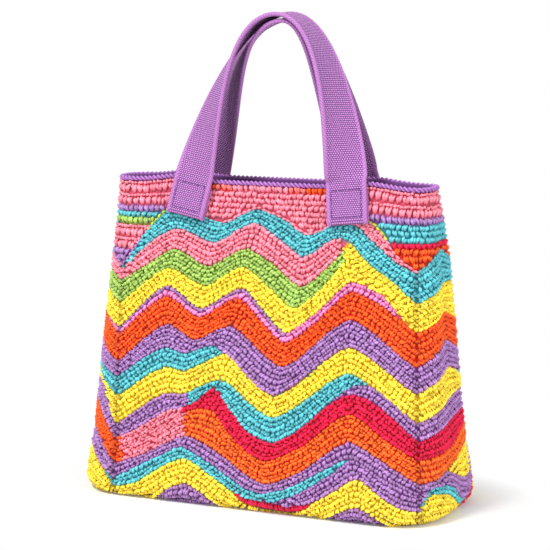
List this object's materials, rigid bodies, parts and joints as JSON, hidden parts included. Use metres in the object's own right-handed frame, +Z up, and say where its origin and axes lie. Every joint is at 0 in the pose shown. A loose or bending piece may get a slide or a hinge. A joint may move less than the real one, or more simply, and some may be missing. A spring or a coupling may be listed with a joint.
{
  "type": "crocheted tote bag",
  "caption": "Crocheted tote bag with ripple-stitch walls tapering from a flat base to a narrow corded mouth, and two webbing handles sewn on outside.",
  "frame": {"origin": "middle of the base's flat underside, on the surface that the bag stands on", "axes": "+X to the right of someone facing the front, +Y from the front to the back, +Z up"},
  "size_m": [0.355, 0.1532, 0.4415],
  "materials": {
    "ripple_crochet": "thick cotton yarn in ripple stripes of teal, pink, green, yellow, orange, purple and crimson",
    "yoke_crochet": "thick cotton yarn in straight rows, mostly pink",
    "base_crochet": "thick cotton yarn, plain purple",
    "rim_cord": "twisted purple cotton cord and facing",
    "webbing": "purple woven cotton webbing with plaited edges",
    "thread": "purple sewing thread"
  },
  "bodies": {
    "root": {"front_panel": "ripple_crochet", "back_panel": "ripple_crochet", "left_gusset": "ripple_crochet", "right_gusset": "ripple_crochet", "yoke": "yoke_crochet", "base_panel": "base_crochet", "rim_binding": "rim_cord", "front_handle": "webbing", "back_handle": "webbing", "front_left_stitching": "thread", "front_right_stitching": "thread", "back_left_stitching": "thread", "back_right_stitching": "thread"}
  },
  "joints": []
}
